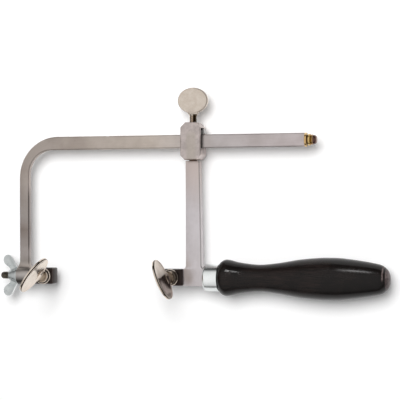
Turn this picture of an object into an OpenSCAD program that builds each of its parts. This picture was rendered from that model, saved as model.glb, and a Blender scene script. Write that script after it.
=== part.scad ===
// Adjustable fret saw frame with a tension screw, lying on its side.
// The X axis is the blade line. X is zero where the handle starts, behind its ferrule, and the
// handle runs to +X. +Y points to the back bar and +Z to the side that the clamp screws are on.

/* [Frame] */
// Blade line to the inner edge of the back bar
throat_depth = 80; // [60:1:150]
// Inner edge of the front leg to the slider's axis, as the slider stands now
slider_reach = 109; // [100:1:140]
// Inner edge of the front leg to the free end of the back bar
bar_reach = 179.6; // [150:0.1:260]

/* [Back bar and front leg] */
// Height of the back bar
bar_h = 8.4; // [7:0.1:10]
// Thickness of the back bar and the front leg
bow_t = 4.2; // [3.8:0.1:5]
// Width of the front leg
leg_w = 6.4; // [5:0.1:8]
// Outer radius of the bend
bend_out_r = 26; // [22:0.5:32]
// Inner radius of the bend
bend_in_r = 15.5; // [10:0.5:18]
// Chamfer along the edges of the bar and leg
bow_chamfer = 0.6; // [0.2:0.1:1]
// Diameter of the drilled seat in the top of the bar
dimple_d = 3.8; // [2:0.1:4]
// Slider's axis back to that seat
dimple_reach = 55.6; // [30:0.1:70]

/* [Tension screw] */
// Diameter of the boss at the foot of the front leg
boss_d = 11.4; // [10.6:0.1:14]
// Length of the boss
boss_l = 8.4; // [8:0.05:14]
// How far the boss stands out in front of the leg
boss_proud = 1.4; // [0.6:0.05:4]
// Radius of the flare from the leg's outer edge to the boss
flare_r = 3; // [2:0.1:8]
// Radius of the fillets from the leg's broad faces to the boss
boss_fillet = 4; // [1:0.1:6]
// Diameter of the tension stud
stud_d = 4.6; // [4:0.1:5.4]
// How far the stud stands out of the wing nut
stud_proud = 6; // [2:0.1:10]
// Width of the stud's square shank
shank_w = 6; // [5.5:0.1:7]
// Travel of the front jaw, to each side of where it stands
jaw_travel = 2.2; // [1:0.1:3]
// Height of the wing nut's hub
hub_l = 6.3; // [4:0.05:8]
// Diameter of the hub where it seats on the boss
hub_d = 10.4; // [9:0.1:13]
// Span over the two wings
wing_span = 26.4; // [22:0.1:34]
// Diameter of each wing's lobe
lobe_d = 8; // [6:0.1:10]
// Thickness of the wings
wing_t = 1.6; // [1.2:0.1:3]

/* [Blade jaws] */
// Length of a jaw block along the blade line
jaw_l = 13.6; // [12.5:0.1:18]
// Height of a jaw block
jaw_h = 10.2; // [9:0.1:13]
// Thickness of a jaw block
jaw_t = 8.5; // [7:0.1:11]
// Clamp screw's axis back from the jaw's tip
screw_setback = 6.1; // [5.5:0.1:7]
// Diameter of a clamp plate
plate_d = 10.2; // [9:0.1:12]
// Thickness of a clamp plate
plate_t = 1.4; // [1:0.1:2.5]
// Gap that a blade is clamped in, as it stands now
blade_gap = 0.4; // [0.3:0.05:0.8]

/* [Clamp screws] */
// Diameter of the clamp screws and the slider screw
screw_d = 4.8; // [4:0.1:5.2]
// Diameter of the collar that presses a clamp plate
collar_d = 8; // [7:0.1:9]
// Thickness of that collar
collar_t = 1.5; // [1:0.1:3]
// Width of a clamp screw's oval spade
spade_w = 25.6; // [16:0.1:27]
// Height of that spade
spade_h = 21; // [14:0.1:27]
// Thickness of a spade
spade_t = 1.8; // [1.4:0.1:3]
// Neck between the collar and the spade
spade_neck = 3.3; // [1:0.1:6]
// Turn of the front spade about its screw, as it stands now
front_spade_angle = 57; // [0:1:90]
// Turn of the rear spade about its screw, as it stands now
rear_spade_angle = -66; // [-90:1:0]

/* [Slider] */
// Width of the slider block along the bar
block_w = 13; // [11:0.1:16]
// Bar's inner edge down to the lower end of the block
block_drop = 7.4; // [6:0.1:12]
// Bar's outer edge up to the upper end of the block
block_rise = 7.4; // [6.4:0.1:10]
// Thickness of the block
block_t = 13.2; // [12.6:0.1:16]
// Chamfer at the block's upper corners
block_top_chamfer = 3.3; // [1:0.1:4]
// Chamfer at the block's lower corners
block_low_chamfer = 2.9; // [1:0.1:3.5]
// Gap between the bar and the back wall of its passage
passage_back_gap = 0.6; // [0.3:0.1:1.5]
// Gap between the bar and the thin front wall of its passage
passage_front_gap = 3.3; // [0.4:0.1:3.7]
// Height above the bar that the pressure shoe works in
shoe_room = 4; // [3.6:0.1:5]
// Thickness of the pressure shoe
shoe_t = 2.4; // [2:0.1:2.8]
// Width of the slider screw's spade
slider_spade_w = 19.4; // [14:0.1:24]
// Height of the slider screw's spade
slider_spade_h = 16; // [12:0.1:18]
// Bare thread between the block and that spade
slider_neck = 5; // [4:0.1:9]

/* [Slider leg] */
// Thickness of the slider leg and its foot
sleg_t = 6.6; // [6:0.1:9]
// Width of the slider leg under the block
sleg_top_w = 8.3; // [7:0.1:10]
// Width of the slider leg above its foot
sleg_low_w = 9.4; // [8:0.1:11]
// Leg's front edge before the slider's axis
sleg_front = 3.95; // [3.5:0.05:5]
// Foot's front end before the slider's axis
foot_front = 5.9; // [5.5:0.1:9]
// Foot's back end behind the slider's axis
foot_back = 7.3; // [7.2:0.1:10]
// Height of the foot
foot_h = 10.5; // [9:0.1:13]
// Radius of the fillets over the foot
foot_fillet = 2.2; // [1:0.1:4]
// Brazed gap between the block and the leg
braze_gap = 0.6; // [0.3:0.1:0.9]

/* [Handle] */
// Length of the ferrule
ferrule_l = 9.4; // [7:0.1:16]
// Outer diameter of the ferrule
ferrule_d = 17; // [14:0.1:19]
// Wall of the ferrule
ferrule_wall = 0.8; // [0.5:0.1:1.2]
// Length of the wooden handle
handle_l = 105.1; // [85:0.1:130]
// Largest diameter of the handle
handle_d = 25.7; // [23:0.1:32]
// Diameter of the tang
tang_d = 4.6; // [4:0.1:4.8]
// How far the tang reaches into the handle
tang_reach = 52; // [30:1:70]

/* [End screw] */
// Diameter of the washer at the end of the bar
end_washer_d = 8.5; // [8:0.1:11]
// Thickness of that washer
end_washer_t = 1.5; // [1:0.1:2.5]
// Diameter of the end screw's collar
end_head_d = 8; // [6:0.1:8.4]
// Length of the end screw's head
end_head_l = 5.7; // [4:0.1:8]
// Diameter of the end screw's shank
end_shank_d = 2.6; // [2:0.1:2.8]

/* [Hidden] */
$fn = 64;
overrun = 1;
run_fit = 0.05;
press_gap = 0.02;
seat_gap = 0.05;

// Places along the blade line
foot_end_x = -ferrule_l;
slider_x = foot_end_x - foot_back;
foot_tip_x = slider_x - foot_front;
leg_in_x = slider_x - slider_reach;
leg_out_x = leg_in_x - leg_w;
boss_tip_x = leg_out_x - boss_proud;
boss_back_x = boss_tip_x + boss_l;
bar_end_x = leg_in_x + bar_reach;
dimple_x = slider_x - dimple_reach;
rear_jaw_tip_x = foot_tip_x - jaw_l;
rear_screw_x = rear_jaw_tip_x + screw_setback;
jaw_margin = 0.5;
front_jaw_back_x = boss_back_x + jaw_travel + jaw_margin;
front_jaw_tip_x = front_jaw_back_x + jaw_l;
front_screw_x = front_jaw_tip_x - screw_setback;
nut_tip_x = boss_tip_x - seat_gap - hub_l;

// Heights above the blade line
bar_top_y = throat_depth + bar_h;
block_low_y = throat_depth - block_drop;
block_top_y = bar_top_y + block_rise;
passage_low_y = throat_depth - 2 * run_fit;
passage_top_y = bar_top_y + shoe_room;
shoe_y = bar_top_y + run_fit;

// Heights over the middle plane of the saw
jaw_face_z = jaw_t / 2;
plate_z = jaw_face_z + blade_gap;
collar_z = plate_z + plate_t + seat_gap;

// Stud and its socket in the boss
socket_share = 0.76;
socket_l = boss_l * socket_share;
shank_end_gap = 0.8;
shank_l = socket_l + jaw_margin - shank_end_gap;
stud_tenon_l = jaw_l - screw_setback - screw_d / 2 - 2 * jaw_margin;
jaw_chamfer = 0.5;
jaw_spigot_l = foot_front;
screw_tip_z = -jaw_t / 2 + plate_t / 2;

// Pressure shoe and slider screw
shoe_lip_t = 0.9;
shoe_lip_h = 1.1;
shoe_side_gap = 0.2;
shoe_proud = 0.2;
shoe_w = bow_t + 2 * shoe_proud;
shoe_chamfer = 0.7;
shoe_pocket_shares = [0.65, 0.4];
shoe_pocket_d = screw_d * shoe_pocket_shares[0];
shoe_pocket_l = shoe_t * shoe_pocket_shares[1];
block_edge_chamfer = 0.5;

// Slider leg, with a round tenon that stops short of the bar's passage
leg_tenon_d = 5;
leg_tenon_roof = 1.2;
leg_tenon_l = block_drop - leg_tenon_roof;

// Spades: shares of their thickness and height, and of the collar's diameter
spade_web_share = 0.4;
spade_end_share = 0.41;
spade_shoulder_shares = [0.31, 0.13];
spade_foot_share = 0.75;

// Wing nut: shares of the hub's length and diameter, and of a lobe's diameter
hub_top_share = 0.58;
hub_web_shares = [[-0.94, 0.2], [-0.06, 0.2], [-0.06, 0.44], [-0.3, 0.72]];
lobe_web_shares = [[0.44, 0.24], [-0.14, -0.45]];
lobe_lean_share = 0.3;

// End screw: shares of the head's length and radius, up to the nose, and of the nose itself
end_head_shares = [[0, 0.78], [0.07, 0.78], [0.11, 1], [0.34, 1], [0.38, 0.88], [0.42, 0.88]];
end_nose_shares = [0.58, 0.86];

// Handle, tang and ferrule
ferrule_rim_share = 1.5;
ferrule_rim_r = ferrule_wall * ferrule_rim_share;
handle_tenon_r = ferrule_d / 2 - ferrule_wall - press_gap;
tang_tip_l = tang_d;
tang_hole_d = tang_d + 2 * press_gap;
// Shares of the handle's length and of its largest radius, from the ferrule to the butt
handle_curve_shares = [
    [0, 0.61], [0.014, 0.775], [0.046, 0.876], [0.12, 0.745], [0.243, 0.64], [0.363, 0.742],
    [0.482, 0.904], [0.6, 0.99], [0.66, 1], [0.72, 0.984], [0.834, 0.87], [0.95, 0.69],
    [0.985, 0.555], [1, 0.37]
];
handle_steps = 4;

// Shared shapes

// A cylinder or cone along +X from the origin
module rod_x(l, d1, d2) {
    rotate([0, 90, 0])
        cylinder(h = l, d1 = d1, d2 = is_undef(d2) ? d1 : d2);
}

// A cylinder or cone along +Y from the origin
module rod_y(l, d1, d2) {
    rotate([-90, 0, 0])
        cylinder(h = l, d1 = d1, d2 = is_undef(d2) ? d1 : d2);
}

// A rectangle with its four corners cut off, centred on the origin
module cut_rectangle(w, h, c) {
    polygon([
        [-w / 2 + c, -h / 2], [w / 2 - c, -h / 2], [w / 2, -h / 2 + c], [w / 2, h / 2 - c],
        [w / 2 - c, h / 2], [-w / 2 + c, h / 2], [-w / 2, h / 2 - c], [-w / 2, -h / 2 + c]
    ]);
}

// The triangle that a chamfer cuts off, with its square corner at the origin
module chamfer_triangle(c) {
    polygon([[-overrun, -overrun], [c + overrun, -overrun], [-overrun, c + overrun]]);
}

// Back bar, bend and front leg, one forged strip with its end boss

module bow_outline() {
    difference() {
        translate([leg_out_x, 0])
            square([bar_end_x - leg_out_x, bar_top_y]);
        // The throat, with its inner corner rounded
        translate([leg_in_x + bend_in_r, -overrun])
            square([bar_end_x - leg_in_x, throat_depth + overrun]);
        translate([leg_in_x, -overrun])
            square([bar_end_x - leg_in_x + overrun, throat_depth - bend_in_r + overrun]);
        translate([leg_in_x + bend_in_r, throat_depth - bend_in_r])
            circle(r = bend_in_r);
        // The outer corner
        difference() {
            translate([leg_out_x - overrun, bar_top_y - bend_out_r])
                square([bend_out_r + overrun, bend_out_r + overrun]);
            translate([leg_out_x + bend_out_r, bar_top_y - bend_out_r])
                circle(r = bend_out_r);
        }
    }
}

// Chamfer cutters along the upper face's edges: outside the leg, bend and bar, then inside
module bow_chamfer_cutters() {
    out_len = bar_end_x - leg_out_x - bend_out_r;
    in_len = bar_end_x - leg_in_x - bend_in_r;
    flare_y = boss_d / 2 + flare_r;
    translate([leg_out_x, bar_top_y - bend_out_r, bow_t / 2])
        rotate([90, 0, 0])
            linear_extrude(bar_top_y - bend_out_r - flare_y)
                mirror([0, 1])
                    chamfer_triangle(bow_chamfer);
    translate([leg_out_x + bend_out_r, bar_top_y - bend_out_r, bow_t / 2])
        rotate([0, 0, 90])
            rotate_extrude(angle = 90)
                translate([bend_out_r, 0])
                    mirror([1, 0])
                        mirror([0, 1])
                            chamfer_triangle(bow_chamfer);
    translate([leg_out_x + bend_out_r, bar_top_y, bow_t / 2])
        rotate([90, 0, 90])
            linear_extrude(out_len + overrun)
                mirror([1, 0])
                    mirror([0, 1])
                        chamfer_triangle(bow_chamfer);
    translate([leg_in_x, throat_depth - bend_in_r, bow_t / 2])
        rotate([90, 0, 0])
            linear_extrude(throat_depth - bend_in_r)
                mirror([1, 0])
                    mirror([0, 1])
                        chamfer_triangle(bow_chamfer);
    translate([leg_in_x + bend_in_r, throat_depth - bend_in_r, bow_t / 2])
        rotate([0, 0, 90])
            rotate_extrude(angle = 90)
                translate([bend_in_r, 0])
                    mirror([0, 1])
                        chamfer_triangle(bow_chamfer);
    translate([leg_in_x + bend_in_r, throat_depth, bow_t / 2])
        rotate([90, 0, 90])
            linear_extrude(in_len + overrun)
                mirror([0, 1])
                    chamfer_triangle(bow_chamfer);
}

module bow_strip() {
    difference() {
        linear_extrude(bow_t, center = true)
            bow_outline();
        for (side = [0, 1])
            mirror([0, 0, side])
                bow_chamfer_cutters();
    }
}

// The flare that widens the leg's outer edge to the boss
module boss_flare() {
    rise = sqrt(pow(flare_r, 2) - pow(flare_r - boss_proud, 2));
    linear_extrude(bow_t, center = true)
        difference() {
            translate([boss_tip_x, 0])
                square([boss_proud, boss_d / 2 + rise]);
            translate([leg_out_x - flare_r, boss_d / 2 + rise])
                circle(r = flare_r);
        }
}

// The fillets that thicken the leg to the boss, tangent to its broad faces and to the boss
module boss_fillets() {
    r = boss_d / 2;
    level = bow_t / 2 + boss_fillet;
    reach = sqrt(pow(r + boss_fillet, 2) - pow(level, 2));
    touch = level * r / (r + boss_fillet);
    translate([leg_out_x, 0, 0])
        rotate([90, 0, 90])
            linear_extrude(leg_w)
                difference() {
                    translate([0, -touch])
                        square([reach, 2 * touch]);
                    for (side = [-1, 1])
                        translate([reach, side * level])
                            circle(r = boss_fillet);
                }
}

module bow() {
    color([0.7, 0.67, 0.65])
        difference() {
            union() {
                bow_strip();
                boss_flare();
                boss_fillets();
                translate([boss_tip_x, 0, 0])
                    rod_x(boss_l, boss_d);
            }
            // Thread clearance through the boss, and the square socket behind it
            translate([boss_tip_x - overrun, 0, 0])
                rod_x(boss_l + 2 * overrun, stud_d + 4 * run_fit);
            translate([boss_back_x - socket_l, -shank_w / 2 - run_fit, -shank_w / 2 - run_fit])
                cube([socket_l + overrun, shank_w + 2 * run_fit, shank_w + 2 * run_fit]);
            // Drilled seat in the top edge of the bar
            translate([dimple_x, bar_top_y + overrun, 0])
                rotate([90, 0, 0])
                    cylinder(h = dimple_d / 2 + overrun, d1 = dimple_d + 2 * overrun, d2 = 0);
            // Tapped hole in the end of the bar
            translate([bar_end_x - end_head_l - press_gap, throat_depth + bar_h / 2, 0])
                rod_x(end_head_l + overrun, end_shank_d + 2 * press_gap);
        }
}

// Brass end stop

module end_washer() {
    color([0.86, 0.72, 0.5])
        translate([bar_end_x, throat_depth + bar_h / 2, 0])
            difference() {
                rod_x(end_washer_t, end_washer_d);
                translate([-overrun, 0, 0])
                    rod_x(end_washer_t + 2 * overrun, end_shank_d + 2 * press_gap);
            }
}

// Turned knob: groove, collar, waist and rounded nose
module end_screw() {
    r = end_head_d / 2;
    l = end_head_l;
    nose_l = l * end_nose_shares[0];
    nose_r = r * end_nose_shares[1];
    color([0.8, 0.64, 0.4])
        translate([bar_end_x + end_washer_t, throat_depth + bar_h / 2, 0]) {
            rotate([0, 90, 0])
                rotate_extrude()
                    polygon(concat(
                        [[0, 0]],
                        [for (q = end_head_shares) [q[1] * r, q[0] * l]],
                        [for (a = [0:15:90])
                            [nose_r * cos(a), l - nose_l + nose_l * sin(a)]]
                    ));
            translate([-end_washer_t - end_head_l, 0, 0])
                rod_x(end_washer_t + end_head_l, end_shank_d);
        }
}

// Slider

module block_outline() {
    h = block_top_y - block_low_y;
    w = block_w / 2;
    t = block_top_chamfer;
    b = block_low_chamfer;
    translate([slider_x, block_low_y])
        polygon([
            [-w + b, 0], [w - b, 0], [w, b], [w, h - t], [w - t, h], [-w + t, h], [-w, h - t],
            [-w, b]
        ]);
}

module slider_block() {
    h = block_top_y - block_low_y;
    color([0.74, 0.71, 0.7])
        difference() {
            intersection() {
                linear_extrude(block_t, center = true)
                    block_outline();
                translate([slider_x, block_low_y + h / 2, 0])
                    rotate([90, 0, 90])
                        linear_extrude(block_w + 2 * overrun, center = true)
                            cut_rectangle(h, block_t, block_edge_chamfer);
                translate([slider_x, block_low_y + h / 2, 0])
                    rotate([90, 0, 0])
                        linear_extrude(h + 2 * overrun, center = true)
                            cut_rectangle(block_w, block_t, block_edge_chamfer);
            }
            translate([slider_x - block_w / 2 - overrun, passage_low_y, -bow_t / 2 - passage_back_gap])
                cube([block_w + 2 * overrun, passage_top_y - passage_low_y,
                      bow_t + passage_back_gap + passage_front_gap]);
            translate([slider_x, passage_top_y - overrun, 0])
                rod_y(block_top_y - passage_top_y + 2 * overrun, screw_d + 2 * run_fit);
            translate([slider_x, block_low_y - overrun, 0])
                rod_y(leg_tenon_l + overrun + press_gap, leg_tenon_d + 2 * press_gap);
        }
}

// Strip that the slider screw presses on the bar, with a lip at each end that keeps it in
module shoe_outline() {
    w = block_w / 2 + shoe_side_gap + shoe_lip_t;
    inner = w - shoe_lip_t;
    top = shoe_t + shoe_lip_h;
    polygon([
        [-w + shoe_chamfer, 0], [w - shoe_chamfer, 0], [w, shoe_chamfer], [w, top], [inner, top],
        [inner, shoe_t], [-inner, shoe_t], [-inner, top], [-w, top], [-w, shoe_chamfer]
    ]);
}

module pressure_shoe() {
    color([0.55, 0.54, 0.53])
        difference() {
            translate([slider_x, shoe_y, 0])
                linear_extrude(shoe_w, center = true)
                    shoe_outline();
            translate([slider_x, shoe_y + shoe_t - shoe_pocket_l, 0])
                rod_y(shoe_pocket_l + overrun, shoe_pocket_d + 2 * run_fit);
        }
}

// An oval of four arcs, centred on the origin, or a circle if it is as high as it is wide
module oval(w, h) {
    end_r = h * spade_end_share;
    end_x = w / 2 - end_r;
    side_r = (pow(w, 2) / 4 + pow(h, 2) / 4 - w * end_r) / (h - 2 * end_r);
    drop = side_r - h / 2;
    if (w > h) {
        for (side = [-1, 1]) {
            translate([side * end_x, 0])
                circle(r = end_r);
            reach = 2 * side_r / drop;
            translate([0, -side * drop])
                intersection() {
                    circle(r = side_r);
                    polygon([[0, 0], reach * [end_x, side * drop], reach * [-end_x, side * drop]]);
                }
        }
    } else
        circle(d = h);
}

// A flat oval spade, standing on a web that widens from the neck, in the XZ plane
module spade(w, h, neck_w, web_l) {
    shoulder = h * spade_shoulder_shares;
    rotate([90, 0, 0])
        linear_extrude(spade_t, center = true)
            union() {
                translate([0, web_l + h / 2])
                    oval(w, h);
                polygon([
                    [-neck_w / 2, 0], [neck_w / 2, 0], [shoulder[0], web_l + shoulder[1]],
                    [-shoulder[0], web_l + shoulder[1]]
                ]);
            }
}

module slider_screw() {
    shank_l = block_top_y + slider_neck - shoe_y - shoe_t - seat_gap;
    web_l = spade_t * spade_web_share;
    color([0.85, 0.81, 0.76])
        translate([slider_x, block_top_y + slider_neck, 0]) {
            rotate([-90, 0, 0])
                spade(slider_spade_w, slider_spade_h, screw_d, web_l);
            translate([0, -shank_l, 0])
                rod_y(shank_l + spade_t, screw_d);
            translate([0, -shank_l - shoe_pocket_l, 0])
                rod_y(shoe_pocket_l + overrun, shoe_pocket_d);
        }
}

module leg_outline() {
    foot_top = foot_h / 2;
    low_x = slider_x - sleg_front + sleg_low_w;
    difference() {
        union() {
            polygon([
                [slider_x - sleg_front, 0], [low_x, 0], [low_x, foot_top],
                [slider_x - sleg_front + sleg_top_w, block_low_y - braze_gap],
                [slider_x - sleg_front, block_low_y - braze_gap]
            ]);
            translate([foot_tip_x, -foot_h / 2])
                square([foot_end_x - foot_tip_x, foot_h]);
            translate([slider_x - sleg_front - foot_fillet, foot_top])
                square([foot_fillet, foot_fillet]);
            translate([low_x - foot_fillet, foot_top])
                square([2 * foot_fillet, foot_fillet]);
        }
        translate([slider_x - sleg_front - foot_fillet, foot_top + foot_fillet])
            circle(r = foot_fillet);
        translate([low_x + foot_fillet, foot_top + foot_fillet])
            circle(r = foot_fillet);
    }
}

module slider_leg() {
    color([0.76, 0.74, 0.73])
        difference() {
            union() {
                linear_extrude(sleg_t, center = true)
                    leg_outline();
                translate([slider_x, block_low_y - braze_gap - overrun, 0])
                    rod_y(leg_tenon_l + braze_gap + overrun, leg_tenon_d);
            }
            translate([foot_tip_x - overrun, 0, 0])
                rod_x(foot_end_x - foot_tip_x + 2 * overrun, tang_hole_d);
        }
}

// Handle with its tang and ferrule

module handle_tang() {
    l = foot_back + ferrule_l + tang_reach - 2 * press_gap;
    color([0.5, 0.49, 0.48])
        translate([slider_x + press_gap, 0, 0]) {
            rod_x(l - tang_tip_l, tang_d);
            translate([l - tang_tip_l, 0, 0])
                rod_x(tang_tip_l, tang_d, tang_d / 4);
        }
}

module ferrule() {
    r = ferrule_d / 2;
    q = ferrule_rim_r;
    inner = r - ferrule_wall;
    color([0.88, 0.89, 0.89])
        translate([foot_end_x, 0, 0])
            rotate([0, 90, 0])
                rotate_extrude()
                    polygon(concat(
                        [[tang_d / 2 + run_fit, 0]],
                        [for (a = [0:15:90]) [r - q + q * sin(a), q - q * cos(a)]],
                        [[r, ferrule_l], [inner, ferrule_l], [inner, ferrule_wall],
                         [tang_d / 2 + run_fit, ferrule_wall]]
                    ));
}

// Slope of a curve of points at one of them, from its neighbours
function slope(p, i) =
    let (a = max(i - 1, 0), b = min(i + 1, len(p) - 1))
    (p[b][1] - p[a][1]) / (p[b][0] - p[a][0]);

// A point between points i and i + 1, at share u of the way, on a smooth cubic
function cubic(p, i, u) =
    let (d = p[i + 1][0] - p[i][0], m0 = slope(p, i) * d, m1 = slope(p, i + 1) * d)
    [p[i][0] + u * d,
     (2 * pow(u, 3) - 3 * pow(u, 2) + 1) * p[i][1] + (pow(u, 3) - 2 * pow(u, 2) + u) * m0
     + (3 * pow(u, 2) - 2 * pow(u, 3)) * p[i + 1][1] + (pow(u, 3) - pow(u, 2)) * m1];

module handle() {
    p = handle_curve_shares;
    last = len(p) - 1;
    curve = [for (i = [0:last - 1], k = [0:handle_steps - 1]) cubic(p, i, k / handle_steps)];
    color([0.13, 0.12, 0.12])
        difference() {
            union() {
                rotate([0, 90, 0])
                    rotate_extrude()
                        polygon(concat(
                            [[0, 0]],
                            [for (q = curve) [q[1] * handle_d / 2, q[0] * handle_l]],
                            [[p[last][1] * handle_d / 2, handle_l], [0, handle_l]]
                        ));
                translate([-ferrule_l + ferrule_wall + press_gap, 0, 0])
                    rod_x(ferrule_l, 2 * handle_tenon_r);
            }
            translate([-ferrule_l, 0, 0])
                rod_x(ferrule_l + tang_reach + press_gap, tang_hole_d);
        }
}

// Blade jaws and their clamps

// A jaw block from x = 0 to its tip at x = l, with the screw's hole near the tip
module jaw_block() {
    difference() {
        intersection() {
            translate([jaw_l / 2, 0, 0])
                linear_extrude(jaw_t, center = true)
                    cut_rectangle(jaw_l, jaw_h, jaw_chamfer);
            rotate([90, 0, 90])
                linear_extrude(jaw_l)
                    cut_rectangle(jaw_h, jaw_t, jaw_chamfer);
        }
        translate([jaw_l - screw_setback, 0, -jaw_t])
            cylinder(h = 2 * jaw_t, d = screw_d + 2 * run_fit);
    }
}

module rear_jaw() {
    color([0.14, 0.13, 0.13]) {
        translate([foot_tip_x, 0, 0])
            mirror([1, 0, 0])
                jaw_block();
        translate([foot_tip_x - jaw_margin, 0, 0])
            rod_x(jaw_spigot_l + jaw_margin - press_gap, tang_d);
    }
}

module front_jaw() {
    color([0.14, 0.13, 0.13])
        translate([front_jaw_back_x, 0, 0])
            difference() {
                jaw_block();
                translate([-overrun, 0, 0])
                    rod_x(stud_tenon_l + overrun + press_gap, stud_d + 2 * press_gap);
            }
}

module clamp_plate() {
    translate([0, 0, plate_z])
        difference() {
            cylinder(h = plate_t, d = plate_d);
            translate([0, 0, -overrun])
                cylinder(h = plate_t + 2 * overrun, d = screw_d + 2 * run_fit);
        }
}

// Thumb screw with a collar and an oval spade that holds the screw's axis in its plane
module clamp_screw(turn) {
    rotate([0, 0, turn]) {
        translate([0, 0, collar_z + collar_t])
            spade(spade_w, spade_h, collar_d * spade_foot_share, spade_neck);
        translate([0, 0, collar_z])
            cylinder(h = collar_t, d = collar_d);
        translate([0, 0, screw_tip_z])
            cylinder(h = collar_z - screw_tip_z + collar_t / 2, d = screw_d);
    }
}

module rear_clamp_plate() {
    color([0.78, 0.78, 0.76])
        translate([rear_screw_x, 0, 0])
            clamp_plate();
}

module rear_clamp_screw() {
    color([0.84, 0.78, 0.73])
        translate([rear_screw_x, 0, 0])
            clamp_screw(rear_spade_angle);
}

module front_clamp_plate() {
    color([0.78, 0.78, 0.76])
        translate([front_screw_x, 0, 0])
            clamp_plate();
}

module front_clamp_screw() {
    color([0.84, 0.78, 0.73])
        translate([front_screw_x, 0, 0])
            clamp_screw(front_spade_angle);
}

// Stud: tenon in the jaw, square shank that keeps it from turning, thread to the wing nut
module tension_stud() {
    shank_tip_x = front_jaw_back_x - shank_l;
    round_tip_x = nut_tip_x - stud_proud + stud_d / 2;
    color([0.24, 0.24, 0.23]) {
        translate([shank_tip_x, -shank_w / 2, -shank_w / 2])
            cube([shank_l, shank_w, shank_w]);
        translate([front_jaw_back_x - jaw_margin, 0, 0])
            rod_x(stud_tenon_l + jaw_margin, stud_d);
        translate([round_tip_x, 0, 0]) {
            rod_x(shank_tip_x - round_tip_x + jaw_margin, stud_d);
            sphere(d = stud_d);
        }
    }
}

// Wing nut: a tapered hub with two flat wings, which lean away from the boss
module wing_nut() {
    lobe = [-hub_l - lobe_d * lobe_lean_share, (wing_span - lobe_d) / 2];
    color([0.72, 0.74, 0.74])
        translate([boss_tip_x - seat_gap, 0, 0])
            difference() {
                union() {
                    translate([-hub_l, 0, 0])
                        rod_x(hub_l, hub_d * hub_top_share, hub_d);
                    for (side = [0, 1])
                        mirror([0, side, 0])
                            linear_extrude(wing_t, center = true)
                                union() {
                                    translate(lobe)
                                        circle(d = lobe_d);
                                    polygon(concat(
                                        [for (q = hub_web_shares) [q[0] * hub_l, q[1] * hub_d]],
                                        [for (q = lobe_web_shares) lobe + lobe_d * q]
                                    ));
                                }
                }
                translate([-hub_l - overrun, 0, 0])
                    rod_x(hub_l + 2 * overrun, stud_d + 2 * run_fit);
            }
}

bow();
end_washer();
end_screw();
slider_block();
pressure_shoe();
slider_screw();
slider_leg();
handle_tang();
ferrule();
handle();
rear_jaw();
rear_clamp_plate();
rear_clamp_screw();
front_jaw();
tension_stud();
wing_nut();
front_clamp_plate();
front_clamp_screw();
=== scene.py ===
import math

import bmesh
import bpy
from mathutils import Euler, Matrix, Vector


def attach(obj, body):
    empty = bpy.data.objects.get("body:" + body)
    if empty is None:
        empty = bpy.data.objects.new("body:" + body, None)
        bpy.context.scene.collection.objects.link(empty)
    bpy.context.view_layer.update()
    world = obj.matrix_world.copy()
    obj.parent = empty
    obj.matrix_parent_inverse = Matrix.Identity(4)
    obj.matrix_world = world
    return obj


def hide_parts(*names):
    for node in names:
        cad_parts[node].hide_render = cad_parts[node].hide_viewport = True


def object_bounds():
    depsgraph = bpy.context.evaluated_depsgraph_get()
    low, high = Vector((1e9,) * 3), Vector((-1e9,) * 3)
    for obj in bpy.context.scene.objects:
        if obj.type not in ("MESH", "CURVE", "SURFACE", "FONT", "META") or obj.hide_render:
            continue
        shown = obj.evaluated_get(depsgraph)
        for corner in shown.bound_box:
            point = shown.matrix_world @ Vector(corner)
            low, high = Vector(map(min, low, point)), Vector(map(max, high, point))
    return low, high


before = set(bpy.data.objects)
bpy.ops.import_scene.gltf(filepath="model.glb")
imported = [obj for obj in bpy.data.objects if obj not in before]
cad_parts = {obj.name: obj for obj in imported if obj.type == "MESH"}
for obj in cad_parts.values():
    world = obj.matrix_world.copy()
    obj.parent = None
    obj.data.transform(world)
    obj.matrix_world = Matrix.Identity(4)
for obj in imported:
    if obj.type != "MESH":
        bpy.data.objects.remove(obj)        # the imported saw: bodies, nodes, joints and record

cad_low, cad_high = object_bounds()
bpy.ops.object.select_all(action="DESELECT")


# Table, light and camera
# The saw lies on a white table, with its clamp screws up. A broad lamp hangs above it, a little
# behind the back bar, and the camera looks down from the handle's side, as in the photograph.
MM = 0.001
FLOOR_SIZE = 8.0
FLOOR_WHITE = 0.97
FLOOR_GLOW = 0.05
CAMERA_PLACE = Vector((226.3, 47.9, 832.5)) * MM
CAMERA_TILT = math.radians(16)
CAMERA_ROLL = math.radians(-0.2)
CAMERA_LENS = 126.0
SENSOR_WIDTH = 36.0
# Each lamp: its name, the place that it aims at, in mm, the direction from there to the lamp, its
# distance, size, spread and watts. The small ones each make one streak on the handle.
LAMPS = (
    ("broad_lamp", (0, 0, 0), (0.03, 0.34, 1.0), 1.2, (0.8, 0.8), math.pi, 13.3),
    ("streak_lamp_0", (9, 2, 10.5), (0.12, 0.8, 0.58), 0.02, (0.018, 0.0035), math.radians(18),
     0.00014),
    ("streak_lamp_1", (85, 0, 9.5), (0.09, 0.8, 0.58), 0.25, (0.085, 0.04), math.radians(13),
     0.0011),
)
# The room that polished metal shows, by the Y and Z of a direction: where each of its soft steps
# starts and ends, and the levels there
WALL_BEHIND_Y = (0.1, 0.75)
WALL_BEHIND_Z = (0.68, 0.2)
WALL_IN_FRONT_Y = (-0.2, -0.75, 1.0, 0.75)
WALL_IN_FRONT_Z = (0.42, 0.14)
CEILING_Z = (0.25, 0.95, 0.58, 0.95)
WALL_LEVEL = 0.07
AMBIENT = 0.295
BACKDROP = 1.0


def new_material(name):
    """A material with an empty node tree, and that tree."""
    material = bpy.data.materials.new(name)
    material.use_nodes = True
    material.node_tree.nodes.clear()
    return material, material.node_tree


def feed(tree, socket, source):
    """Gives an input of a node its source, which is an output of another node or a plain value."""
    if isinstance(source, bpy.types.NodeSocket):
        tree.links.new(source, socket)
    else:
        socket.default_value = source


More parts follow.
